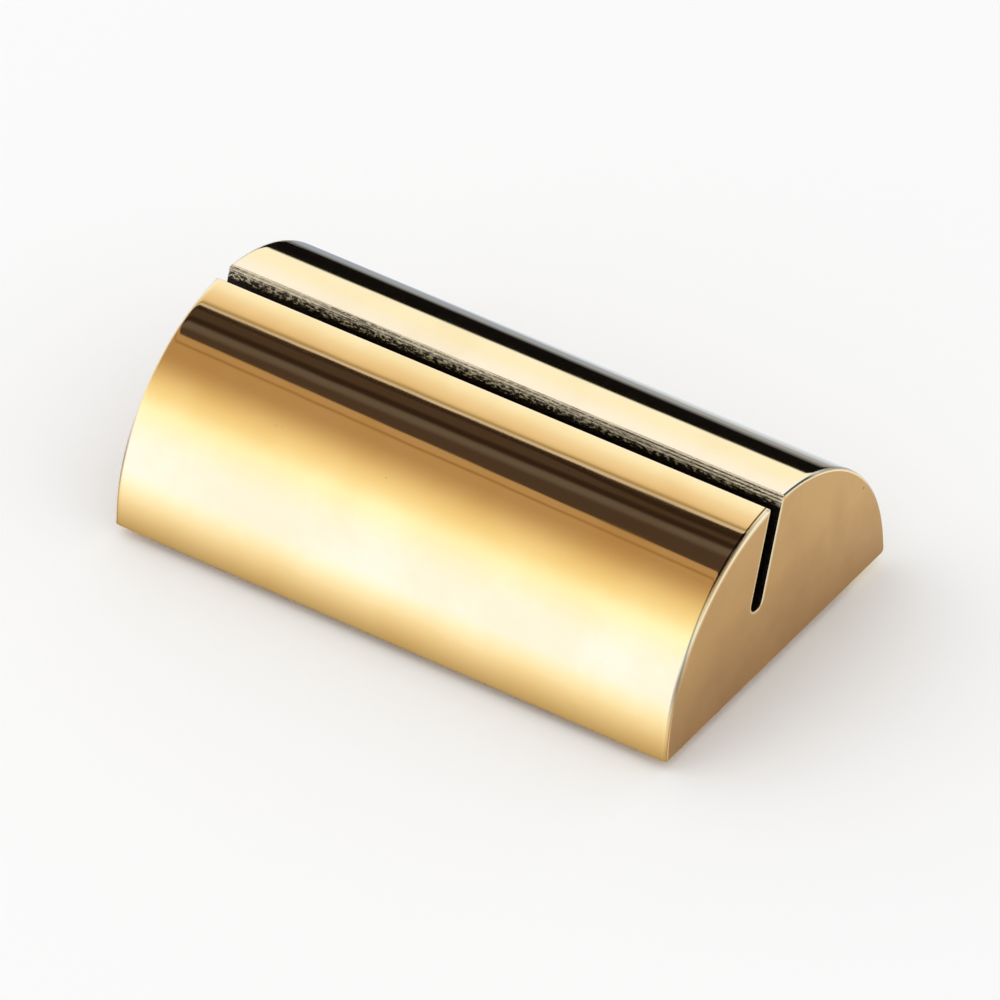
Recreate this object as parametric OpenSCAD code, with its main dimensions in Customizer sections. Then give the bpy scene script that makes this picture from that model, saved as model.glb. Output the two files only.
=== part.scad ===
// Place card holder: a solid half-round metal bar that lies on its flat side,
// with one tilted slot sawn along its top, and a non-slip pad stuck underneath.
// All lengths are in millimetres. X runs along the bar, the front is -Y, Z is up.
// The origin is the middle of the footprint, at the level of the table.

/* [Bar] */
// Length of the bar
bar_l = 60; // [40:1:90]
// Radius of the half-round section, which is also the height of the bar
bar_r = 18; // [14:0.5:27]
// Radius of the polished edge round the arc of each end face
end_edge_r = 0.3; // [0.1:0.05:0.8]
// Width of the small flat that breaks the front and end edges of the underside
foot_break = 0.3; // [0.1:0.05:0.8]
// Width of the wider flat that breaks the rear edge of the underside
rear_foot_break = 0.8; // [0.1:0.05:1.5]

/* [Card slot] */
// Width of the slot between its two parallel walls
slot_w = 1.8; // [0.8:0.1:3]
// Depth of the slot, measured down its slope from the curved top
slot_depth = 10.7; // [5:0.1:12.5]
// Angle by which a card in the slot leans back from upright
slot_tilt = 18; // [0:1:25]
// Distance from the bar's middle forward to the middle of the slot's mouth
slot_forward = 0.45; // [0:0.05:4]
// Corner radius at the bottom of the slot
slot_root_r = 0.8; // [0.1:0.05:0.9]
// Width of the small flat that breaks each lip of the slot
slot_lip_break = 0.3; // [0.05:0.05:0.5]

/* [Non-slip pad] */
// Thickness of the rubber pad
pad_t = 0.8; // [0.5:0.1:3]
// Distance that the pad stays inside the edges of the bar's underside
pad_margin = 2.5; // [1:0.25:5]
// Corner radius of the pad
pad_corner_r = 3; // [1:0.25:6]

/* [Adhesive film] */
// Thickness of the double-sided film that holds the pad
film_t = 0.2; // [0.1:0.05:0.5]
// Distance that the film stays inside the edges of the pad
film_margin = 0.4; // [0.1:0.1:1]

/* [Hidden] */
$fn = 128;

// How far each cutting shape runs past the surface that it cuts
overrun = 1;

bar_w = 2 * bar_r;
pad_l = bar_l - 2 * pad_margin;
pad_w = bar_w - 2 * pad_margin;

// Levels of the stack, from the table up: pad, film, underside of the bar
film_z = pad_t;
bar_z = pad_t + film_t;

// Middle of the slot's mouth on the arc, from the centre of the arc
mouth_y = -slot_forward;
mouth_z = sqrt(bar_r * bar_r - slot_forward * slot_forward);

// Where the slot's wall at a distance across from its middle meets the arc,
// measured along the slot from the middle of its mouth
function lip_height(across) =
    let (y = mouth_y + across * cos(slot_tilt))
    let (z = mouth_z - across * sin(slot_tilt))
    let (along = y * sin(slot_tilt) + z * cos(slot_tilt))
    sqrt(along * along - y * y - z * z + bar_r * bar_r) - along;

// A flat rectangular outline with round corners, centred
module rounded_outline(size_x, size_y, corner_r) {
    square([size_x - 2 * corner_r, size_y], center = true);
    square([size_x, size_y - 2 * corner_r], center = true);
    for (side_x = [-1, 1], side_y = [-1, 1])
        translate([side_x * (size_x / 2 - corner_r), side_y * (size_y / 2 - corner_r)])
            circle(r = corner_r);
}

// A square that lies on one corner and cuts a flat with legs of the given size
module edge_cutter(leg, run) {
    cube([run, leg * sqrt(2), leg * sqrt(2)], center = true);
}

// The full round bar with polished end edges, lying along X
module round_bar() {
    rotate([0, 90, 0])
        rotate_extrude()
            intersection() {
                rounded_outline(bar_w, bar_l, end_edge_r);
                translate([0, -bar_l / 2])
                    square([bar_r, bar_l]);
            }
}

// Only what lies above the flat underside is kept
module upper_half() {
    translate([-bar_l / 2 - overrun, -bar_r - overrun, 0])
        cube([bar_l + 2 * overrun, bar_w + 2 * overrun, bar_r + overrun]);
}

// The breaks along the four straight edges of the underside
module foot_breaks() {
    translate([0, -bar_r, 0])
        rotate([45, 0, 0])
            edge_cutter(foot_break, bar_l + 2 * overrun);
    translate([0, bar_r, 0])
        rotate([45, 0, 0])
            edge_cutter(rear_foot_break, bar_l + 2 * overrun);
    for (side = [-1, 1])
        translate([side * bar_l / 2, 0, 0])
            rotate([0, 0, 90])
                rotate([45, 0, 0])
                    edge_cutter(foot_break, bar_w + 2 * overrun);
}

// Section of the slot: x across it towards the rear, y along it towards its mouth
module slot_section() {
    translate([-slot_w / 2, -slot_depth + slot_root_r])
        square([slot_w, slot_depth - slot_root_r + slot_w + overrun]);
    translate([-slot_w / 2 + slot_root_r, -slot_depth])
        square([slot_w - 2 * slot_root_r, slot_depth]);
    for (side = [-1, 1])
        translate([side * (slot_w / 2 - slot_root_r), -slot_depth + slot_root_r])
            circle(r = slot_root_r);
}

// The slot, which runs the whole length of the bar, with its broken lips
module card_slot() {
    slot_run = bar_l + 2 * overrun;
    translate([0, mouth_y, mouth_z])
        rotate([-slot_tilt, 0, 0]) {
            rotate([90, 0, 90])
                linear_extrude(height = slot_run, center = true)
                    slot_section();
            for (side = [-1, 1])
                translate([0, side * slot_w / 2, lip_height(side * slot_w / 2)])
                    rotate([45, 0, 0])
                        edge_cutter(slot_lip_break, slot_run);
        }
}

module half_round_bar() {
    color("goldenrod")
        translate([0, 0, bar_z])
            difference() {
                intersection() {
                    round_bar();
                    upper_half();
                }
                foot_breaks();
                card_slot();
            }
}

module pad_adhesive() {
    color("gainsboro")
        translate([0, 0, film_z])
            linear_extrude(height = film_t)
                rounded_outline(pad_l - 2 * film_margin, pad_w - 2 * film_margin, pad_corner_r - film_margin);
}

module non_slip_pad() {
    color("dimgray")
        linear_extrude(height = pad_t)
            rounded_outline(pad_l, pad_w, pad_corner_r);
}

half_round_bar();
pad_adhesive();
non_slip_pad();
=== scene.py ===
"""Dresses the place card holder for its picture.

It is a solid half-round bar of polished gold with a sawn card slot, on a thin rubber pad.

Lengths are in millimetres, and MM turns them into metres.
X runs along the bar, the front is -Y, Z is up, and the table is at Z = 0.
"""

import math

import bmesh
import bpy
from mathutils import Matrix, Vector


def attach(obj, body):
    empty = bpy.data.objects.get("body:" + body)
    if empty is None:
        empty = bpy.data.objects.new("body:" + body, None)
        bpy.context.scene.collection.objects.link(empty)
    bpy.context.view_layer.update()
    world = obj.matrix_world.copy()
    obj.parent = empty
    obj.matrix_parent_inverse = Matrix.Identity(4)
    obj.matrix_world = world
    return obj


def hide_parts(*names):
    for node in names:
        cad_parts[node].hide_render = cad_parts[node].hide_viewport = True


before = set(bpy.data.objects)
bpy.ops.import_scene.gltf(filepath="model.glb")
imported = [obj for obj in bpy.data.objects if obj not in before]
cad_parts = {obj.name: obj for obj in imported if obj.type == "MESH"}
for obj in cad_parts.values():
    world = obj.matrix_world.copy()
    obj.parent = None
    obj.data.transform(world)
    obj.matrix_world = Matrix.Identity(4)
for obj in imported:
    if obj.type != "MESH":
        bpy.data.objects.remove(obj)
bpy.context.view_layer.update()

MM = 0.001

# The bar, as in the part's source
BAR_LENGTH = 60.0
BAR_END = BAR_LENGTH / 2
BAR_RADIUS = 18.0
BAR_UNDERSIDE = 1.0
SLOT_WIDTH = 1.8
SLOT_DEPTH = 10.7
SLOT_TILT = math.radians(18.0)
SLOT_FORWARD = 0.45
SLOT_ROOT_RADIUS = 0.8
SLOT_LIP = 0.32
FRONT_FOOT = 0.3
REAR_FOOT = 0.8

# The finish of the bar's ends: buffing lets the barrel fall away a little before the rounded edge
BUFFED_LENGTH = 0.75
BUFFED_DROP = 0.035
EDGE_RADIUS = 0.25
EDGE_LAST_ANGLE = math.radians(82.0)
# How much of the end's rounding each corner of the section gets. A sharp corner gets less of it
SLOT_EDGE_SHARE = 0.35
FRONT_LIP_SHARE = 0.3
REAR_LIP_SHARE = 0.6
FRONT_FOOT_SHARE = 0.4
UNDERSIDE_SHARE = 0.7
# Width of the satin edge round the slot's ends
SLOT_RIM_WIDTH = 0.08

# The pad under the bar
PAD_THICKNESS = 0.8
PAD_LENGTH = 55.0
PAD_WIDTH = 31.0
PAD_CORNER_RADIUS = 3.0
PAD_EDGE_RADIUS = 0.12

# How many steps the curves and flats of the shapes have
LIP_STEPS = 10
WALL_STEPS = 16
ROOT_STEPS = 8
REAR_FOOT_STEPS = 8
FRONT_FOOT_STEPS = 6
UNDERSIDE_STEPS = 24
BUFFED_STEPS = 14
END_EDGE_STEPS = 12
BARREL_STEPS = 12
PAD_CORNER_STEPS = 12
PAD_EDGE_STEPS = 5
ARC_STEP = math.radians(0.5)

# Middle of the slot's mouth, and the slot's own directions in the section
MOUTH_Y = -SLOT_FORWARD
MOUTH_Z = BAR_UNDERSIDE + math.sqrt(BAR_RADIUS**2 - SLOT_FORWARD**2)
SLOT_UP = (math.sin(SLOT_TILT), math.cos(SLOT_TILT))
SLOT_ACROSS = (math.cos(SLOT_TILT), -math.sin(SLOT_TILT))

# A very small turn round the arc, for a point right beside another
SHARP_TURN = 0.015 / BAR_RADIUS

MIRROR, SATIN, SAWN, UNDERSIDE = range(4)

# Colours of the metal, the rubber and the film
GOLD = (1.0, 0.70, 0.35)
GOLD_DEEP = (0.97, 0.66, 0.31)
# Painted shade: the dark line along the near end's edge. The pits use this colour too
EDGE_SHADE_AND_PIT_DARK = (0.05, 0.028, 0.010)
# Painted highlight on the ends' rounded edges, and the same highlight in painted shade towards the foot
EDGE_HIGHLIGHT_CREAM = (0.98, 0.79, 0.50)
EDGE_HIGHLIGHT_SHADED = (0.42, 0.28, 0.14)
# The end faces' satin: darker than the gold as painted shade, and darker again at the foot
SATIN_SHADED_TOP = (0.60, 0.36, 0.13)
SATIN_FOOT_SHADE_AND_RUB = (0.42, 0.23, 0.08)
# Painted highlight on the end faces, along the arc and round the slot
SATIN_EDGE_HIGHLIGHT = (0.84, 0.66, 0.36)
STAIN = (0.20, 0.11, 0.04)
SAWN_BRIGHT = (1.0, 0.78, 0.49)
# Painted shade that darkens the slot's walls with depth
SAWN_SLOT_SHADE = (0.020, 0.013, 0.008)
MILLED_LIGHT = (0.93, 0.65, 0.32)
MILLED_DEEP = (0.78, 0.52, 0.25)
RUBBER_BLACK = (0.012, 0.012, 0.013)
RUBBER_DUST = (0.03, 0.029, 0.027)
FILM_WHITE = (0.70, 0.70, 0.67)
FILM_GREY = (0.60, 0.60, 0.56)

# How deep three saw grooves run along the slot's walls, from the level of the mouth's middle
SAWN_GROOVES = (-0.2, 0.1, 0.42)

# Middle of the rubbed patch on an end face, and the small stain on the near one
RUBBED_PLACE = (0.0, 9.9, 9.9)
RUBBED_SQUEEZE = (0.0, 0.9, 0.34)
STAIN_PLACE = (BAR_END, 14.0, 11.0)
STAIN_RADIUS = 0.22

# Small pits in the polish: place along the bar, angle round the arc from the front foot, radius
PITS = (
    (27.9, 73.3, 0.13),
    (16.6, 114.9, 0.16),
    (11.5, 70.6, 0.10),
    (-4.0, 47.5, 0.10),
    (-16.2, 49.0, 0.09),
    (-15.6, 49.3, 0.07),
)


def new_material(name):
    material = bpy.data.materials.new(name)
    material.use_nodes = True
    tree = material.node_tree
    return material, tree, tree.nodes["Principled BSDF"]


def link(tree, source, target):
    tree.links.new(source, target)


def set_or_link(tree, socket, value):
    if isinstance(value, bpy.types.NodeSocket):
        link(tree, value, socket)
    else:
        socket.default_value = value


def math_node(tree, operation, first, second=0.0):
    node = tree.nodes.new("ShaderNodeMath")
    node.operation = operation
    set_or_link(tree, node.inputs[0], first)
    set_or_link(tree, node.inputs[1], second)
    return node.outputs[0]


def product(tree, *values):
    result = values[0]
    for value in values[1:]:
        result = math_node(tree, "MULTIPLY", result, value)
    return result


def map_range(tree, value, from_low, from_high, to_low, to_high, smooth=False):
    node = tree.nodes.new("ShaderNodeMapRange")
    node.interpolation_type = "SMOOTHSTEP" if smooth else "LINEAR"
    link(tree, value, node.inputs["Value"])
    node.inputs["From Min"].default_value = from_low
    node.inputs["From Max"].default_value = from_high
    node.inputs["To Min"].default_value = to_low
    node.inputs["To Max"].default_value = to_high
    return node.outputs["Result"]


def mix_colour(tree, factor, first, second):
    node = tree.nodes.new("ShaderNodeMix")
    node.data_type = "RGBA"
    link(tree, factor, node.inputs["Factor"])
    for socket, value in ((node.inputs[6], first), (node.inputs[7], second)):
        if isinstance(value, bpy.types.NodeSocket):
            link(tree, value, socket)
        else:
            socket.default_value = (*value, 1.0)
    return node.outputs[2]


def position(tree, scale=(1.0, 1.0, 1.0)):
    """Object coordinates in millimetres, stretched by scale."""
    coordinates = tree.nodes.new("ShaderNodeTexCoord")
    mapping = tree.nodes.new("ShaderNodeMapping")
    mapping.inputs["Scale"].default_value = [s / MM for s in scale]
    link(tree, coordinates.outputs["Object"], mapping.inputs["Vector"])
    return mapping.outputs["Vector"]


def axis_value(tree, vector, axis):
    split = tree.nodes.new("ShaderNodeSeparateXYZ")
    link(tree, vector, split.inputs[0])
    return split.outputs[axis]


def vector_math(tree, operation, vector, other=(0.0, 0.0, 0.0), output="Value"):
    node = tree.nodes.new("ShaderNodeVectorMath")
    node.operation = operation
    link(tree, vector, node.inputs[0])
    node.inputs[1].default_value = other
    return node.outputs[output]


def noise(tree, vector, scale, detail=3.0, roughness=0.5):
    node = tree.nodes.new("ShaderNodeTexNoise")
    link(tree, vector, node.inputs["Vector"])
    node.inputs["Scale"].default_value = scale
    node.inputs["Detail"].default_value = detail
    node.inputs["Roughness"].default_value = roughness
    return node.outputs["Fac"]


def bump(tree, height, strength, distance, normal=None):
    node = tree.nodes.new("ShaderNodeBump")
    node.inputs["Strength"].default_value = strength
    node.inputs["Distance"].default_value = distance * MM
    link(tree, height, node.inputs["Height"])
    if normal is not None:
        link(tree, normal, node.inputs["Normal"])
    return node.outputs["Normal"]


def spot(tree, place, centre, radius):
    """1 at the centre, falling to 0 at the radius."""
    away = vector_math(tree, "DISTANCE", place, centre)
    return map_range(tree, away, radius * 0.4, radius, 1.0, 0.0, True)


def slot_depth(tree, place):
    """How far down the slot's slope a point is, from the middle of its mouth."""
    down = vector_math(tree, "DOT_PRODUCT", place, (0.0, -SLOT_UP[0], -SLOT_UP[1]))
    return math_node(tree, "ADD", down, MOUTH_Y * SLOT_UP[0] + MOUTH_Z * SLOT_UP[1])


def polished_gold():
    """Mirror-polished gold plate: clear, with faint hazy patches, fine buffing lines, a few pits, and
    painted shade and highlight at the ends' edges.
    """
    material, tree, shader = new_material("polished_gold")
    place = position(tree)
    haze = noise(tree, place, 0.09, 4.0, 0.55)
    buff_lines = noise(tree, position(tree, (0.02, 1.0, 1.0)), 5.0, 2.0, 0.5)
    tone = map_range(tree, haze, 0.4, 0.62, 0.0, 1.0, True)
    colour = mix_colour(tree, tone, GOLD, GOLD_DEEP)
    # The near end's edge gets a painted dark line, painted shade for the dark reflection of its rolled
    # edge, which runs nearer to the edge by the foot and behind the slot
    along = axis_value(tree, place, "X")
    back = axis_value(tree, place, "Y")
    height = axis_value(tree, place, "Z")
    low = map_range(tree, height, 10.5, 17.5, 0.36, 0.0)
    wander = math_node(tree, "MAXIMUM", low, map_range(tree, back, -0.6, 0.2, 0.0, 0.35, True))
    line_place = math_node(tree, "SUBTRACT", along, wander)
    start = map_range(tree, line_place, BAR_END - 0.60, BAR_END - 0.52, 0.0, 1.0, True)
    stop = map_range(tree, line_place, BAR_END - 0.46, BAR_END - 0.36, 1.0, 0.0, True)
    faint = map_range(tree, height, 6.5, 9.5, 0.0, 0.55, True)
    strong = map_range(tree, height, 14.5, 16.5, 0.0, 0.4, True)
    fading = map_range(tree, back, 4.5, 6.5, 1.0, 0.0, True)
    strength = product(tree, math_node(tree, "ADD", faint, strong), fading)
    # Outside it the edge is rubbed satin with a painted highlight, less so and in painted shade near the
    # foot
    from_middle = math_node(tree, "ABSOLUTE", along)
    pale = map_range(tree, from_middle, BAR_END - 0.42, BAR_END - 0.24, 0.0, 1.0, True)
    pale = product(tree, pale, map_range(tree, height, 3.0, 9.0, 0.25, 1.0, True))
    edge = mix_colour(tree, map_range(tree, height, 7.0, 14.0, 0.0, 1.0, True), EDGE_HIGHLIGHT_SHADED, EDGE_HIGHLIGHT_CREAM)
    colour = mix_colour(tree, pale, colour, edge)
    colour = mix_colour(tree, product(tree, start, stop, strength), colour, EDGE_SHADE_AND_PIT_DARK)
    pitted = None
    for x, degrees, radius in PITS:
        angle = math.radians(degrees)
        centre = (x, -BAR_RADIUS * math.cos(angle), BAR_UNDERSIDE + BAR_RADIUS * math.sin(angle))
        pit = spot(tree, place, centre, radius)
        pitted = pit if pitted is None else math_node(tree, "MAXIMUM", pitted, pit)
    colour = mix_colour(tree, math_node(tree, "MULTIPLY", pitted, 0.35), colour, EDGE_SHADE_AND_PIT_DARK)
    link(tree, colour, shader.inputs["Base Color"])
    shader.inputs["Metallic"].default_value = 1.0
    hazy = map_range(tree, haze, 0.35, 0.7, 0.035, 0.065)
    lined = map_range(tree, buff_lines, 0.3, 0.75, 0.0, 0.02)
    satin = math_node(tree, "MULTIPLY", pale, 0.32)
    rough = math_node(tree, "ADD", math_node(tree, "ADD", hazy, lined), satin)
    link(tree, rough, shader.inputs["Roughness"])
    wave = noise(tree, position(tree, (0.5, 1.0, 1.0)), 0.35, 1.0, 0.4)
    waved = bump(tree, wave, 1.0, 0.006)
    buffed = bump(tree, buff_lines, 0.5, 0.0003, waved)
    link(tree, bump(tree, pitted, -1.0, 0.02, buffed), shader.inputs["Normal"])
    return material


def satin_gold():
    """The end faces: linished flat before plating, satin, darker than the barrel's gold and deeper towards
    the foot as painted shade, with painted highlights.
    """
    material, tree, shader = new_material("satin_gold")
    place = position(tree)
    patches = noise(tree, place, 0.16, 4.0, 0.55)
    grain = noise(tree, position(tree, (1.0, 0.5, 1.2)), 6.0, 3.0, 0.6)
    # Painted shade: the end face darkens towards the foot
    height = map_range(tree, axis_value(tree, place, "Z"), 1.0, 11.0, 0.9, 0.0)
    uneven = map_range(tree, patches, 0.3, 0.7, -0.2, 0.2)
    colour = mix_colour(tree, math_node(tree, "ADD", height, uneven), SATIN_SHADED_TOP, SATIN_FOOT_SHADE_AND_RUB)
    # A soft rubbed patch behind the slot, and one small stain on the near end
    shifted = vector_math(tree, "SUBTRACT", place, RUBBED_PLACE, "Vector")
    squeezed = vector_math(tree, "MULTIPLY", shifted, RUBBED_SQUEEZE, "Vector")
    rubbed = map_range(tree, vector_math(tree, "LENGTH", squeezed), 0.1, 2.0, 0.35, 0.0, True)
    colour = mix_colour(tree, rubbed, colour, SATIN_FOOT_SHADE_AND_RUB)
    stained = spot(tree, place, STAIN_PLACE, STAIN_RADIUS)
    colour = mix_colour(tree, math_node(tree, "MULTIPLY", stained, 0.6), colour, STAIN)
    # A painted highlight along the front of the arc, above the foot
    from_axis = vector_math(tree, "SUBTRACT", place, (0.0, 0.0, BAR_UNDERSIDE), "Vector")
    from_axis = vector_math(tree, "MULTIPLY", from_axis, (0.0, 1.0, 1.0), "Vector")
    radius = vector_math(tree, "LENGTH", from_axis)
    outer = map_range(tree, radius, BAR_RADIUS - 0.7, BAR_RADIUS - 0.4, 0.0, 0.45, True)
    above = map_range(tree, axis_value(tree, place, "Z"), 7.0, 10.0, 0.0, 1.0, True)
    front = map_range(tree, axis_value(tree, place, "Y"), 0.0, 3.0, 1.0, 0.0, True)
    colour = mix_colour(tree, product(tree, outer, above, front), colour, SATIN_EDGE_HIGHLIGHT)
    # The painted highlight round the slot follows its walls and its round bottom
    across = vector_math(tree, "DOT_PRODUCT", place, (0.0, SLOT_ACROSS[0], SLOT_ACROSS[1]))
    middle = MOUTH_Y * SLOT_ACROSS[0] + MOUTH_Z * SLOT_ACROSS[1]
    beside = math_node(tree, "SUBTRACT", across, middle)
    below = math_node(tree, "SUBTRACT", slot_depth(tree, place), SLOT_DEPTH - SLOT_WIDTH / 2)
    below = math_node(tree, "MAXIMUM", below, 0.0)
    squares = math_node(tree, "ADD", product(tree, beside, beside), product(tree, below, below))
    away = math_node(tree, "SQRT", squares)
    border = map_range(tree, away, SLOT_WIDTH / 2 + 0.20, SLOT_WIDTH / 2 + 0.36, 0.85, 0.0, True)
    link(tree, mix_colour(tree, border, colour, SATIN_EDGE_HIGHLIGHT), shader.inputs["Base Color"])
    shader.inputs["Metallic"].default_value = 1.0
    link(tree, map_range(tree, grain, 0.3, 0.7, 0.27, 0.33), shader.inputs["Roughness"])
    link(tree, bump(tree, grain, 0.2, 0.001), shader.inputs["Normal"])
    return material


def sawn_gold():
    """The slot's walls: bright scored lines along the lip, then flecks left by the teeth, then painted
    shade deeper down.
    """
    material, tree, shader = new_material("sawn_gold")
    place = position(tree)
    depth = slot_depth(tree, place)
    teeth = noise(tree, position(tree, (0.6, 1.2, 1.2)), 3.4, 3.0, 0.65)
    scores = noise(tree, position(tree, (0.012, 1.0, 1.0)), 9.0, 2.0, 0.6)
    ragged = math_node(tree, "ADD", depth, map_range(tree, teeth, 0.3, 0.7, 0.2, -0.2))
    # Towards the near end the grooves are clearer and reach deeper, and the flecks are weaker
    along = axis_value(tree, place, "X")
    plain = map_range(tree, along, -20.0, 22.0, 0.6, 0.0)
    deeper = map_range(tree, along, 0.0, 24.0, 0.0, 0.25)
    scored = map_range(tree, scores, 0.43, 0.50, 0.25, 1.0, True)
    scored = math_node(tree, "MAXIMUM", scored, map_range(tree, along, 0.0, 24.0, 0.0, 0.9))
    for groove in SAWN_GROOVES:
        off = math_node(tree, "ABSOLUTE", math_node(tree, "SUBTRACT", depth, groove))
        clear = map_range(tree, off, 0.03, 0.08, 0.05, 1.0, True)
        scored = product(tree, scored, math_node(tree, "MAXIMUM", clear, plain))
    reach = math_node(tree, "SUBTRACT", ragged, deeper)
    lines = product(tree, scored, map_range(tree, reach, 0.15, 0.4, 1.0, 0.0, True))
    flecks = product(
        tree,
        map_range(tree, teeth, 0.48, 0.59, 0.05, 1.0, True),
        map_range(tree, ragged, 0.45, 0.85, 1.0, 0.0, True),
        map_range(tree, along, 0.0, 26.0, 0.8, 0.4),
    )
    # Painted shade: below the lines and flecks the walls keep the dark colour
    colour = mix_colour(tree, math_node(tree, "MAXIMUM", lines, flecks), SAWN_SLOT_SHADE, SAWN_BRIGHT)
    link(tree, colour, shader.inputs["Base Color"])
    shader.inputs["Metallic"].default_value = 1.0
    link(tree, map_range(tree, teeth, 0.3, 0.7, 0.30, 0.5), shader.inputs["Roughness"])
    link(tree, bump(tree, teeth, 1.0, 0.22), shader.inputs["Normal"])
    return material


def underside_gold():
    """The underside: plated over a milled face, with the cutter's arcs still faintly there."""
    material, tree, shader = new_material("underside_gold")
    place = position(tree)
    rings = tree.nodes.new("ShaderNodeTexWave")
    rings.wave_type = "RINGS"
    rings.rings_direction = "SPHERICAL"
    link(tree, vector_math(tree, "ADD", place, (120.0, 0.0, 0.0), "Vector"), rings.inputs["Vector"])
    rings.inputs["Scale"].default_value = 0.6
    rings.inputs["Distortion"].default_value = 0.6
    rings.inputs["Detail"].default_value = 2.0
    patches = noise(tree, place, 0.2, 3.0, 0.5)
    tone = map_range(tree, patches, 0.35, 0.65, 0.0, 1.0, True)
    link(tree, mix_colour(tree, tone, MILLED_LIGHT, MILLED_DEEP), shader.inputs["Base Color"])
    shader.inputs["Metallic"].default_value = 1.0
    link(tree, map_range(tree, rings.outputs["Fac"], 0.0, 1.0, 0.26, 0.36), shader.inputs["Roughness"])
    link(tree, bump(tree, rings.outputs["Fac"], 0.3, 0.004), shader.inputs["Normal"])
    return material


def pad_rubber():
    """Solid black rubber sheet, with the fine grain of its press cloth and a little dust in it."""
    material, tree, shader = new_material("pad_rubber")
    place = position(tree)
    grain = tree.nodes.new("ShaderNodeTexVoronoi")
    link(tree, place, grain.inputs["Vector"])
    grain.inputs["Scale"].default_value = 3.2
    dust = noise(tree, place, 0.8, 5.0, 0.65)
    tone = map_range(tree, dust, 0.45, 0.75, 0.0, 1.0, True)
    link(tree, mix_colour(tree, tone, RUBBER_BLACK, RUBBER_DUST), shader.inputs["Base Color"])
    link(tree, map_range(tree, dust, 0.3, 0.8, 0.62, 0.82), shader.inputs["Roughness"])
    shader.inputs["Specular IOR Level"].default_value = 0.35
    link(tree, bump(tree, grain.outputs["Distance"], 0.5, 0.03), shader.inputs["Normal"])
    return material


def adhesive_film():
    """White double-sided film, slightly uneven where it is pressed on."""
    material, tree, shader = new_material("adhesive_film")
    place = position(tree)
    pressed = noise(tree, place, 0.5, 4.0, 0.6)
    tone = map_range(tree, pressed, 0.35, 0.7, 0.0, 1.0, True)
    link(tree, mix_colour(tree, tone, FILM_WHITE, FILM_GREY), shader.inputs["Base Color"])
    link(tree, map_range(tree, pressed, 0.3, 0.7, 0.42, 0.6), shader.inputs["Roughness"])
    link(tree, bump(tree, pressed, 0.3, 0.02), shader.inputs["Normal"])
    return material


def across_and_up(across, up):
    """A point of the section given in the slot's own directions from its mouth."""
    return (
        MOUTH_Y + across * SLOT_ACROSS[0] + up * SLOT_UP[0],
        MOUTH_Z + across * SLOT_ACROSS[1] + up * SLOT_UP[1],
    )


def lip_height(across):
    """How far above the mouth's middle a slot wall meets the arc."""
    y = MOUTH_Y + across * SLOT_ACROSS[0]
    z = MOUTH_Z - BAR_UNDERSIDE + across * SLOT_ACROSS[1]
    along = y * SLOT_UP[0] + z * SLOT_UP[1]
    return math.sqrt(along**2 - y**2 - z**2 + BAR_RADIUS**2) - along


def arc_point(angle):
    return (-BAR_RADIUS * math.cos(angle), BAR_UNDERSIDE + BAR_RADIUS * math.sin(angle))


def arc_angle(point):
    return math.atan2(point[1] - BAR_UNDERSIDE, -point[0])


def rounded_corner(start, corner, end, steps):
    """A smooth corner from start to end, without its two end points."""
    points = []
    for i in range(1, steps):
        t = i / steps
        weights = ((1 - t) ** 2, 2 * t * (1 - t), t**2)
        axes = zip(start, corner, end)
        points.append(tuple(sum(w * v for w, v in zip(weights, values)) for values in axes))
    return points


def straight(start, end, count):
    return [tuple(a + (b - a) * i / count for a, b in zip(start, end)) for i in range(count + 1)]


def bar_arc(start, end):
    count = max(2, round((end - start) / ARC_STEP))
    return [arc_point(start + (end - start) * i / count) for i in range(count + 1)]


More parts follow.
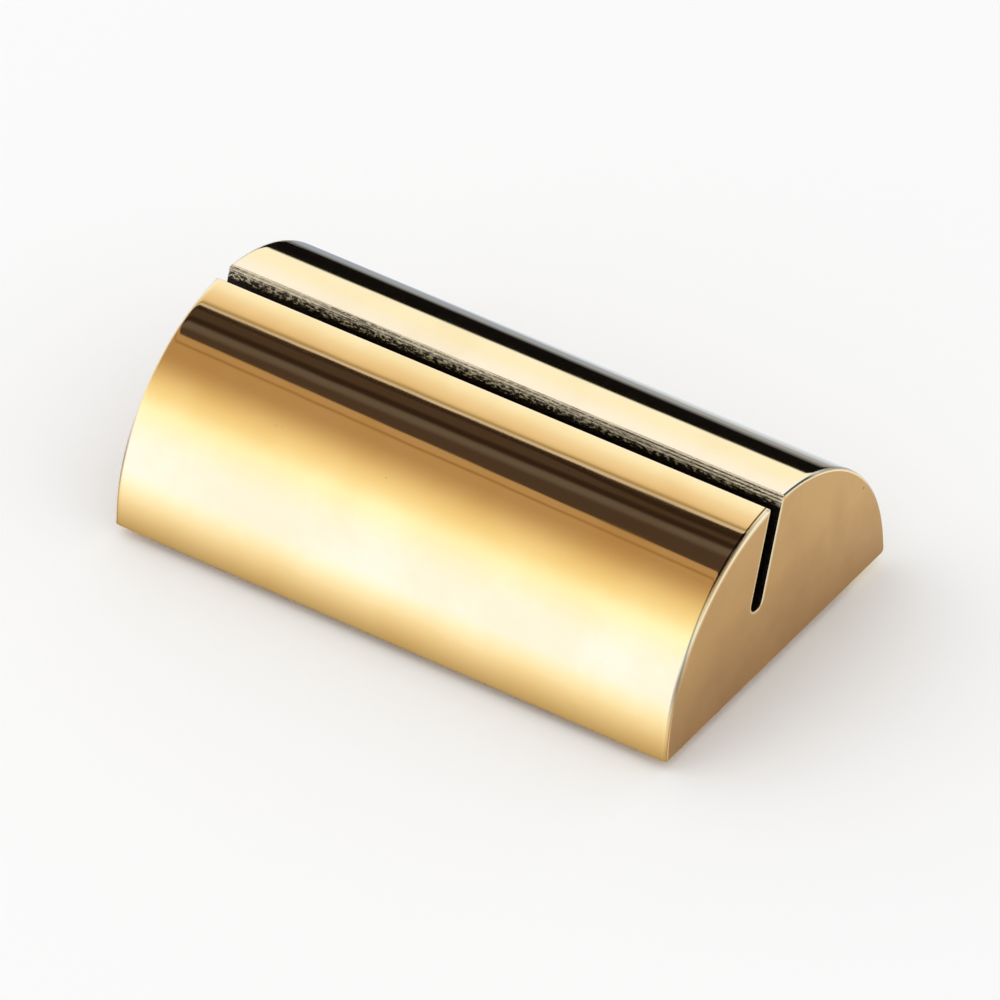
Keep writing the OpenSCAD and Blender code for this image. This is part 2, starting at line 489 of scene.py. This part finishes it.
def bar_section():
    """The closed section, from the front foot over the top.

    Each point is (y, z, share of the end rounding, surface).
    """
    half = SLOT_WIDTH / 2
    front_lip = across_and_up(-half, lip_height(-half))
    rear_lip = across_and_up(half, lip_height(half))
    turn = SLOT_LIP / BAR_RADIUS
    first = FRONT_FOOT / BAR_RADIUS
    last = math.pi - REAR_FOOT / BAR_RADIUS
    section = []

    def put(points, share, surface):
        section.extend((y, z, share, surface) for y, z in points)

    # A last point close to each lip keeps the mirror's shading true right up to it
    front_turn = arc_angle(front_lip) - turn
    put(bar_arc(first, front_turn - SHARP_TURN), 1.0, MIRROR)
    lip_out = arc_point(front_turn)
    lip_in = across_and_up(-half, lip_height(-half) - SLOT_LIP)
    put([lip_out], 1.0, MIRROR)
    put(rounded_corner(lip_out, front_lip, lip_in, LIP_STEPS), FRONT_LIP_SHARE, MIRROR)
    root = -SLOT_DEPTH + SLOT_ROOT_RADIUS
    put(straight(lip_in, across_and_up(-half, root), WALL_STEPS), SLOT_EDGE_SHARE, SAWN)
    inner = half - SLOT_ROOT_RADIUS
    for side, turn_from in ((-1, 180.0), (1, 270.0)):
        for i in range(1, ROOT_STEPS + 1):
            angle = math.radians(turn_from + 90.0 * i / ROOT_STEPS)
            across = side * inner + SLOT_ROOT_RADIUS * math.cos(angle)
            up = root + SLOT_ROOT_RADIUS * math.sin(angle)
            put([across_and_up(across, up)], SLOT_EDGE_SHARE, SAWN)
    lip_in = across_and_up(half, lip_height(half) - SLOT_LIP)
    rear_turn = arc_angle(rear_lip) + turn
    lip_out = arc_point(rear_turn)
    put(straight(across_and_up(half, root), lip_in, WALL_STEPS)[1:], SLOT_EDGE_SHARE, SAWN)
    put(rounded_corner(lip_in, rear_lip, lip_out, LIP_STEPS), REAR_LIP_SHARE, SAWN)
    put([lip_out], 1.0, SAWN)
    put(bar_arc(rear_turn + SHARP_TURN, last), 1.0, MIRROR)
    foot = (BAR_RADIUS - REAR_FOOT, BAR_UNDERSIDE)
    corner = (BAR_RADIUS, BAR_UNDERSIDE)
    put(rounded_corner(arc_point(last), corner, foot, REAR_FOOT_STEPS), UNDERSIDE_SHARE, MIRROR)
    toe = (-BAR_RADIUS + FRONT_FOOT, BAR_UNDERSIDE)
    put(straight(foot, toe, UNDERSIDE_STEPS), UNDERSIDE_SHARE, UNDERSIDE)
    corner = (-BAR_RADIUS, BAR_UNDERSIDE)
    put(rounded_corner(toe, corner, arc_point(first), FRONT_FOOT_STEPS), FRONT_FOOT_SHARE, MIRROR)
    return section


def inward_normals(section):
    normals = []
    count = len(section)
    for i in range(count):
        before, after = section[i - 1], section[(i + 1) % count]
        dy, dz = after[0] - before[0], after[1] - before[1]
        length = math.hypot(dy, dz)
        normals.append((dz / length, -dy / length))
    return normals


def smoothed_shares(section, reach=3):
    shares = [p[2] for p in section]
    count = len(shares)
    return [
        sum(shares[(i + k) % count] for k in range(-reach, reach + 1)) / (2 * reach + 1)
        for i in range(count)
    ]


def end_profile():
    """How far in from the end each ring lies, and how far it is set in, from the middle to the end."""
    rings = []
    run = BUFFED_LENGTH - EDGE_RADIUS
    for i in range(BUFFED_STEPS + 1):
        t = i / BUFFED_STEPS
        rings.append((BUFFED_LENGTH - run * t, BUFFED_DROP * t**3))
    start = math.atan(3 * BUFFED_DROP / run)
    last = EDGE_LAST_ANGLE
    scale = EDGE_RADIUS / (math.sin(last) - math.sin(start))
    for i in range(1, END_EDGE_STEPS + 1):
        angle = start + (last - start) * i / END_EDGE_STEPS
        inward = scale * (math.sin(angle) - math.sin(start))
        rings.append((EDGE_RADIUS - inward, BUFFED_DROP + scale * (math.cos(start) - math.cos(angle))))
    return rings


def make_bar(materials):
    section = bar_section()
    normals = inward_normals(section)
    shares = smoothed_shares(section)
    profile = end_profile()
    rings = [(-BAR_END + x, inset) for x, inset in reversed(profile)]
    bare = BAR_LENGTH - 2 * BUFFED_LENGTH
    rings += [(-bare / 2 + bare * i / BARREL_STEPS, 0.0) for i in range(1, BARREL_STEPS)]
    rings += [(BAR_END - x, inset) for x, inset in profile]
    shape = bmesh.new()
    loops = []
    for x, inset in rings:
        loop = []
        for (y, z, _, _), (ny, nz), share in zip(section, normals, shares):
            step = inset * share
            loop.append(shape.verts.new(Vector((x, y + ny * step, z + nz * step)) * MM))
        loops.append(loop)
    count = len(section)
    for near, far, (x_near, _), (x_far, _) in zip(loops, loops[1:], rings, rings[1:]):
        in_rim = min(abs(x_near), abs(x_far)) > BAR_END - SLOT_RIM_WIDTH
        for i in range(count):
            j = (i + 1) % count
            face = shape.faces.new((near[i], near[j], far[j], far[i]))
            face.smooth = True
            surface = section[i][3] if section[i][3] == section[j][3] else MIRROR
            face.material_index = SATIN if in_rim and surface == SAWN else surface
    for loop in (loops[0], loops[-1]):
        cap = shape.faces.new(loop)
        cap.material_index = SATIN
        for edge in cap.edges:
            edge.smooth = False
    bmesh.ops.recalc_face_normals(shape, faces=shape.faces)
    caps = [f for f in shape.faces if len(f.verts) > 4]
    bmesh.ops.triangulate(shape, faces=caps)
    mesh = bpy.data.meshes.new("half_round_bar_polished")
    shape.to_mesh(mesh)
    shape.free()
    for material in materials:
        mesh.materials.append(material)
    bar = bpy.data.objects.new("half_round_bar_polished", mesh)
    bpy.context.scene.collection.objects.link(bar)
    return bar


def rounded_rectangle(length, width, radius):
    points = []
    corners = ((1, 1, 0.0), (-1, 1, 90.0), (-1, -1, 180.0), (1, -1, 270.0))
    for side_x, side_y, start in corners:
        for i in range(PAD_CORNER_STEPS + 1):
            angle = math.radians(start + 90.0 * i / PAD_CORNER_STEPS)
            x = side_x * (length / 2 - radius) + radius * math.cos(angle)
            y = side_y * (width / 2 - radius) + radius * math.sin(angle)
            points.append((x, y))
    return points


def make_pad(material):
    """The rubber sheet with its slightly rounded die-cut edge."""
    shape = bmesh.new()
    loops = []
    levels = []
    for i in range(PAD_EDGE_STEPS + 1):
        angle = math.radians(90.0 * i / PAD_EDGE_STEPS)
        z, inset = (PAD_EDGE_RADIUS * (1 - turn) for turn in (math.cos(angle), math.sin(angle)))
        levels.append((z, inset))
    levels += [(PAD_THICKNESS - z, inset) for z, inset in reversed(levels)]
    for z, inset in levels:
        outline = rounded_rectangle(
            PAD_LENGTH - 2 * inset, PAD_WIDTH - 2 * inset, PAD_CORNER_RADIUS - inset
        )
        loops.append([shape.verts.new(Vector((x, y, z)) * MM) for x, y in outline])
    count = len(loops[0])
    for near, far in zip(loops, loops[1:]):
        for i in range(count):
            j = (i + 1) % count
            shape.faces.new((near[i], near[j], far[j], far[i])).smooth = True
    for loop in (loops[0], loops[-1]):
        shape.faces.new(loop)
    bmesh.ops.recalc_face_normals(shape, faces=shape.faces)
    bmesh.ops.triangulate(shape, faces=[f for f in shape.faces if len(f.verts) > 4])
    mesh = bpy.data.meshes.new("non_slip_pad_sheet")
    shape.to_mesh(mesh)
    shape.free()
    mesh.materials.append(material)
    pad = bpy.data.objects.new("non_slip_pad_sheet", mesh)
    bpy.context.scene.collection.objects.link(pad)
    return pad


# The floor, the world and the one lamp
FLOOR_HALF = 3000.0
FLOOR_COLOUR = (0.975, 0.975, 0.975)
SKY_LEVEL = 0.90
KEY_POWER = 1.5
KEY_SIZE = 900.0
KEY_PLACE = Vector((-500.0, -450.0, 800.0))

# The bar mirrors a small studio of cards. A tone is light as (red, green, blue), and white is 1.
# These few round tones serve all the cards.
WINDOW = (1.1, 1.4, 2.25)
LEMON_WALL = (1.1, 1.35, 1.5)
PALE_WALL = (1.0, 1.2, 1.4)
MILK_WALL = (1.0, 1.25, 1.9)
CREAM_WALL = (0.95, 0.95, 0.72)
SAND_WALL = (0.9, 0.91, 0.87)
TAN_WALL = (0.76, 0.7, 0.57)
BROWN_WALL = (0.45, 0.33, 0.2)
SEAM = (0.3, 0.2, 0.08)
SLATE = (0.65, 0.65, 0.7)
STEEL_BLUE = (0.35, 0.43, 0.57)
SHADE = (0.35, 0.3, 0.17)
CLOTH_BLACK = (0.03, 0.02, 0.015)
CLOTH_BROWN = (0.065, 0.05, 0.045)
CLOTH_GREY = (0.12, 0.11, 0.12)
PITCH_BLACK = (0.005, 0.005, 0.006)

# The soft box is bent round the bar's length: its angle is 0 at the front horizon, 90 straight up.
# Each row is where a panel's tone is reached, and the tones blend smoothly between the rows.
CARD_RADIUS = 1500.0
CARD_HALF_LENGTH = 4000.0
CARD_AXIS_HEIGHT = 15.0
SOFT_BOX_STEP = 0.4
SOFT_BOX_BANDS = (
    (-1.0, WINDOW),
    (6.0, WINDOW),
    (31.0, LEMON_WALL),
    (45.0, CREAM_WALL),
    (69.0, BROWN_WALL),
    (92.0, BROWN_WALL),
    (100.0, SLATE),
    (104.5, SLATE),
    (105.5, SHADE),
    (108.0, TAN_WALL),
    (114.5, SAND_WALL),
    (124.0, PALE_WALL),
    (142.0, MILK_WALL),
    (162.0, PALE_WALL),
    (178.0, PALE_WALL),
)

# The dark cloth flag overhead lies flat. Its folds run along the bar, but its front edge slopes.
# Each row is a distance behind the bar's middle, and the tone there
FLAG_HEIGHT = 300.0
FLAG_STEPS = 200
FLAG_REAR_Y = 61.5
FLAG_RIGHT_X = 160.0
FLAG_EDGE_LEFT = (-169.5, -53.2)
FLAG_EDGE_RIGHT = (-114.2, -76.4)
FLAG_BANDS = (
    (-400.0, CLOTH_BROWN),
    (-34.0, CLOTH_BROWN),
    (-17.0, CLOTH_GREY),
    (-9.0, CLOTH_GREY),
    (4.0, CLOTH_BLACK),
    (12.0, CLOTH_BLACK),
    (24.0, CLOTH_BROWN),
    (42.0, CLOTH_BROWN),
    (50.0, CLOTH_BLACK),
    (61.5, CLOTH_BLACK),
)
# The flag's rear edge runs a little forward towards the right
FLAG_REAR_SLANT = 0.04
FLAG_MIDDLE_X = -138.0
# A black flap of the cloth hangs just under its rear right part.
# Each row is the flap's left end, its distance behind the bar's middle, and its tone
FLAG_FLAP_HEIGHT = 299.0
FLAG_FLAP = (
    (-108.0, 26.0, CLOTH_BROWN),
    (-118.0, 36.0, CLOTH_BLACK),
    (-128.0, 44.0, CLOTH_BLACK),
    (-140.0, 60.0, CLOTH_BLACK),
)
# The brown wall shows along the flag's edge, with one seam in it, by distance square to the edge
FLAG_EDGE_REACH = 420.0
FLAG_EDGE_STEPS = 60
FLAG_EDGE_BANDS = (
    (0.0, CLOTH_BROWN),
    (3.0, BROWN_WALL),
    (20.0, BROWN_WALL),
    (27.0, SEAM),
    (34.0, BROWN_WALL),
    (52.0, BROWN_WALL),
)

# The table in front of the bar. The bar's own shade fades from it over these lengths,
# in red, green and blue
TABLE_CARD_LIFT = 0.05
SHADE_LENGTHS = (5.5, 8.5, 18.0)
SHADE_STEPS = 60
SHADE_REACH = 1500.0
# The table behind the bar, and the dark strip that stands on it. Both lean a little along the bar
REAR_TABLE_SPAN = (-75.0, 30.0)
# Each row is a distance behind the bar's middle, how much that line slants for each millimetre
# along the bar, and its tone
REAR_TABLE = (
    (0.0, 0.2, PALE_WALL),
    (38.0, 0.6, STEEL_BLUE),
    (60.0, 0.6, STEEL_BLUE),
    (92.0, 0.6, PITCH_BLACK),
)
STRIP_Y = 75.0
STRIP_MIDDLE_X = -33.0
STRIP_HALF_LENGTH = 120.0
# Each row is a height on the strip, how much that line climbs for each millimetre along the bar,
# and its tone
STRIP_BANDS = (
    (30.0, 0.05, PALE_WALL),
    (27.5, 0.05, PITCH_BLACK),
    (5.0, 0.16, PITCH_BLACK),
    (-5.0, 0.16, STEEL_BLUE),
)


def card_material():
    """Light at the level painted on the card's own corners."""
    material = bpy.data.materials.new("reflection_card")
    material.use_nodes = True
    tree = material.node_tree
    tree.nodes.clear()
    level = tree.nodes.new("ShaderNodeAttribute")
    level.attribute_name = "level"
    glow = tree.nodes.new("ShaderNodeEmission")
    link(tree, level.outputs["Color"], glow.inputs["Color"])
    glow.inputs["Strength"].default_value = 1.0
    out = tree.nodes.new("ShaderNodeOutputMaterial")
    link(tree, glow.outputs[0], out.inputs["Surface"])
    return material


def make_card(name, rows, material):
    """A card from rows of (left point, right point, light level); only reflections and glass show it."""
    mesh = bpy.data.meshes.new(name)
    points, levels, faces = [], [], []
    for left, right, level in rows:
        points += [Vector(left) * MM, Vector(right) * MM]
        levels += [level, level]
    for i in range(len(rows) - 1):
        faces.append((2 * i, 2 * i + 1, 2 * i + 3, 2 * i + 2))
    mesh.from_pydata(points, [], faces)
    paint = mesh.color_attributes.new("level", "FLOAT_COLOR", "POINT")
    for item, level in zip(paint.data, levels):
        item.color = (*level, 1.0)
    mesh.materials.append(material)
    card = bpy.data.objects.new(name, mesh)
    bpy.context.scene.collection.objects.link(card)
    card.visible_camera = False
    card.visible_diffuse = False
    card.visible_shadow = False
    card.visible_volume_scatter = False


def slopes(places, values):
    """The slope at each place of a curve that runs smoothly through the values and never past them."""
    steps = [(v1 - v0) / (p1 - p0) for p0, p1, v0, v1 in zip(places, places[1:], values, values[1:])]
    result = [0.0]
    for before, after in zip(steps, steps[1:]):
        same_way = before * after > 0
        result.append(2 * before * after / (before + after) if same_way else 0.0)
    return result + [0.0]


def level_at(bands, value):
    """The tone at a place between two bands, on a smooth curve through all of them."""
    places = [place for place, _ in bands]
    value = min(max(value, places[0]), places[-1])
    i = max(k for k in range(len(bands) - 1) if places[k] <= value)
    run = places[i + 1] - places[i]
    t = (value - places[i]) / run
    tone = []
    for levels in zip(*(level for _, level in bands)):
        slope = slopes(places, levels)
        rise = (t**3 - 2 * t**2 + t) * run * slope[i] + (t**3 - t**2) * run * slope[i + 1]
        tone.append(levels[i] + (levels[i + 1] - levels[i]) * t * t * (3 - 2 * t) + rise)
    return tuple(tone)


def soft_box(material):
    """The card bent round the bar's length, at one distance from it."""
    first, last = SOFT_BOX_BANDS[0][0], SOFT_BOX_BANDS[-1][0]
    count = round((last - first) / SOFT_BOX_STEP)
    rows = []
    for i in range(count + 1):
        degrees = first + (last - first) * i / count
        angle = math.radians(degrees)
        y = -CARD_RADIUS * math.cos(angle)
        z = CARD_AXIS_HEIGHT + CARD_RADIUS * math.sin(angle)
        ends = [(x, y, z) for x in (-CARD_HALF_LENGTH, CARD_HALF_LENGTH)]
        rows.append((*ends, level_at(SOFT_BOX_BANDS, degrees)))
    make_card("soft_box", rows, material)


def front_table(material):
    """The table before the bar, which is in the bar's shade next to it and brightens away from it."""
    rows = []
    for i in range(SHADE_STEPS + 1):
        away = SHADE_REACH * (i / SHADE_STEPS) ** 3
        y = -BAR_RADIUS - away
        level = []
        for shade, lit, fade in zip(SHADE, WINDOW, SHADE_LENGTHS):
            level.append(lit + (shade - lit) * math.exp(-away / fade))
        ends = [(x, y, TABLE_CARD_LIFT) for x in (-CARD_HALF_LENGTH, CARD_HALF_LENGTH)]
        rows.append((*ends, tuple(level)))
    make_card("front_table", rows, material)


def rear_table(material):
    rows = []
    for y, slant, level in REAR_TABLE:
        ends = []
        for x in REAR_TABLE_SPAN:
            ends.append((x, y + slant * (x - STRIP_MIDDLE_X), TABLE_CARD_LIFT))
        rows.append((*ends, level))
    make_card("rear_table", rows, material)


def rear_strip(material):
    rows = []
    for z, climb, level in STRIP_BANDS:
        ends = []
        for side in (-1, 1):
            run = side * STRIP_HALF_LENGTH
            ends.append((STRIP_MIDDLE_X + run, STRIP_Y, z + climb * run))
        rows.append((*ends, level))
    make_card("rear_strip", rows, material)


def flag_edge_x(y):
    """Where the flag's sloping front edge is at a distance behind the bar's middle."""
    (x0, y0), (x1, y1) = FLAG_EDGE_LEFT, FLAG_EDGE_RIGHT
    return x0 + (y - y0) * (x1 - x0) / (y1 - y0)


def dark_flag(material):
    (x0, y0), (x1, y1) = FLAG_EDGE_LEFT, FLAG_EDGE_RIGHT
    low = y1 + (FLAG_RIGHT_X - x1) * (y1 - y0) / (x1 - x0)
    rows = []
    for i in range(FLAG_STEPS + 1):
        y = low + (FLAG_REAR_Y - low) * i / FLAG_STEPS
        slant = FLAG_REAR_SLANT * (i / FLAG_STEPS) ** 4
        ends = []
        for x in (flag_edge_x(y), FLAG_RIGHT_X):
            ends.append((x, y - slant * (x - FLAG_MIDDLE_X), FLAG_HEIGHT))
        rows.append((*ends, level_at(FLAG_BANDS, y)))
    make_card("dark_flag", rows, material)


def flag_flap(material):
    rows = []
    for x, y, level in FLAG_FLAP:
        far = y - FLAG_REAR_SLANT * (FLAG_RIGHT_X - x)
        rows.append(((x, y, FLAG_FLAP_HEIGHT), (FLAG_RIGHT_X, far, FLAG_FLAP_HEIGHT), level))
    make_card("flag_flap", rows, material)


def flag_edge(material):
    """Strips outside the flag's sloping edge, measured square to that edge."""
    (x0, y0), (x1, y1) = FLAG_EDGE_LEFT, FLAG_EDGE_RIGHT
    length = math.hypot(x1 - x0, y1 - y0)
    along = ((x1 - x0) / length, (y1 - y0) / length)
    out = (along[1], -along[0])
    rows = []
    for i in range(FLAG_EDGE_STEPS + 1):
        offset = FLAG_EDGE_BANDS[-1][0] * i / FLAG_EDGE_STEPS
        level = level_at(FLAG_EDGE_BANDS, offset)
        x, y = x0 + out[0] * offset, y0 + out[1] * offset
        ends = []
        for run in (-FLAG_EDGE_REACH, FLAG_EDGE_REACH):
            ends.append((x + along[0] * run, y + along[1] * run, FLAG_HEIGHT))
        rows.append((*ends, level))
    make_card("flag_edge", rows, material)


def make_floor():
    """A pale table top that keeps a soft shadow of the bar."""
    mesh = bpy.data.meshes.new("floor")
    half = FLOOR_HALF * MM
    corners = [(-half, -half, 0.0), (half, -half, 0.0), (half, half, 0.0), (-half, half, 0.0)]
    mesh.from_pydata(corners, [], [(0, 1, 2, 3)])
    material, tree, shader = new_material("pale_table")
    shader.inputs["Base Color"].default_value = (*FLOOR_COLOUR, 1.0)
    weave = noise(tree, position(tree), 0.4, 2.0, 0.5)
    link(tree, map_range(tree, weave, 0.3, 0.7, 0.85, 0.95), shader.inputs["Roughness"])
    shader.inputs["Specular IOR Level"].default_value = 0.0
    mesh.materials.append(material)
    floor = bpy.data.objects.new("floor", mesh)
    bpy.context.scene.collection.objects.link(floor)


def make_world():
    """White for the camera and for reflections, and a plain soft level for everything else."""
    world = bpy.data.worlds.new("studio")
    bpy.context.scene.world = world
    world.use_nodes = True
    tree = world.node_tree
    background = tree.nodes["Background"]
    background.inputs["Color"].default_value = (1.0, 1.0, 1.0, 1.0)
    path = tree.nodes.new("ShaderNodeLightPath")
    seen = math_node(tree, "MAXIMUM", path.outputs["Is Camera Ray"], path.outputs["Is Glossy Ray"])
    seen = math_node(tree, "MAXIMUM", seen, path.outputs["Is Transmission Ray"])
    link(tree, map_range(tree, seen, 0.0, 1.0, SKY_LEVEL, 1.0), background.inputs["Strength"])


def make_key():
    light = bpy.data.lights.new("key", "AREA")
    light.shape = "SQUARE"
    light.size = KEY_SIZE * MM
    light.energy = KEY_POWER
    key = bpy.data.objects.new("key", light)
    key.location = KEY_PLACE * MM
    key.rotation_mode = "QUATERNION"
    key.rotation_quaternion = (-key.location).to_track_quat("-Z", "Y")
    key.visible_glossy = False
    key.visible_camera = False
    bpy.context.scene.collection.objects.link(key)


# The camera was fitted to the outline and the end face in the photograph
CAMERA_PLACE = Vector((413.33, -610.61, 598.83))
CAMERA_TARGET = Vector((-1.156, 1.827, 3.685))
CAMERA_LENS = 376.6
CAMERA_SENSOR = 36.0
CAMERA_NEAR = 10.0
CAMERA_FAR = 20000.0


def make_camera():
    data = bpy.data.cameras.new("camera")
    data.sensor_width = CAMERA_SENSOR
    data.lens = CAMERA_LENS
    data.clip_start = CAMERA_NEAR * MM
    data.clip_end = CAMERA_FAR * MM
    camera = bpy.data.objects.new("camera", data)
    camera.location = CAMERA_PLACE * MM
    camera.rotation_mode = "QUATERNION"
    camera.rotation_quaternion = (CAMERA_TARGET - CAMERA_PLACE).to_track_quat("-Z", "Y")
    bpy.context.scene.collection.objects.link(camera)
    bpy.context.scene.camera = camera


make_camera()
make_world()
make_key()
make_floor()

cards = card_material()
soft_box(cards)
dark_flag(cards)
flag_flap(cards)
flag_edge(cards)
front_table(cards)
rear_table(cards)
rear_strip(cards)

bar = make_bar([polished_gold(), satin_gold(), sawn_gold(), underside_gold()])
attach(bar, "root")
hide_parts("half_round_bar")

pad = make_pad(pad_rubber())
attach(pad, "root")
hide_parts("non_slip_pad")

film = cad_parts["pad_adhesive"]
film.data.materials.clear()
film.data.materials.append(adhesive_film())

bpy.context.scene.view_settings.view_transform = "Standard"
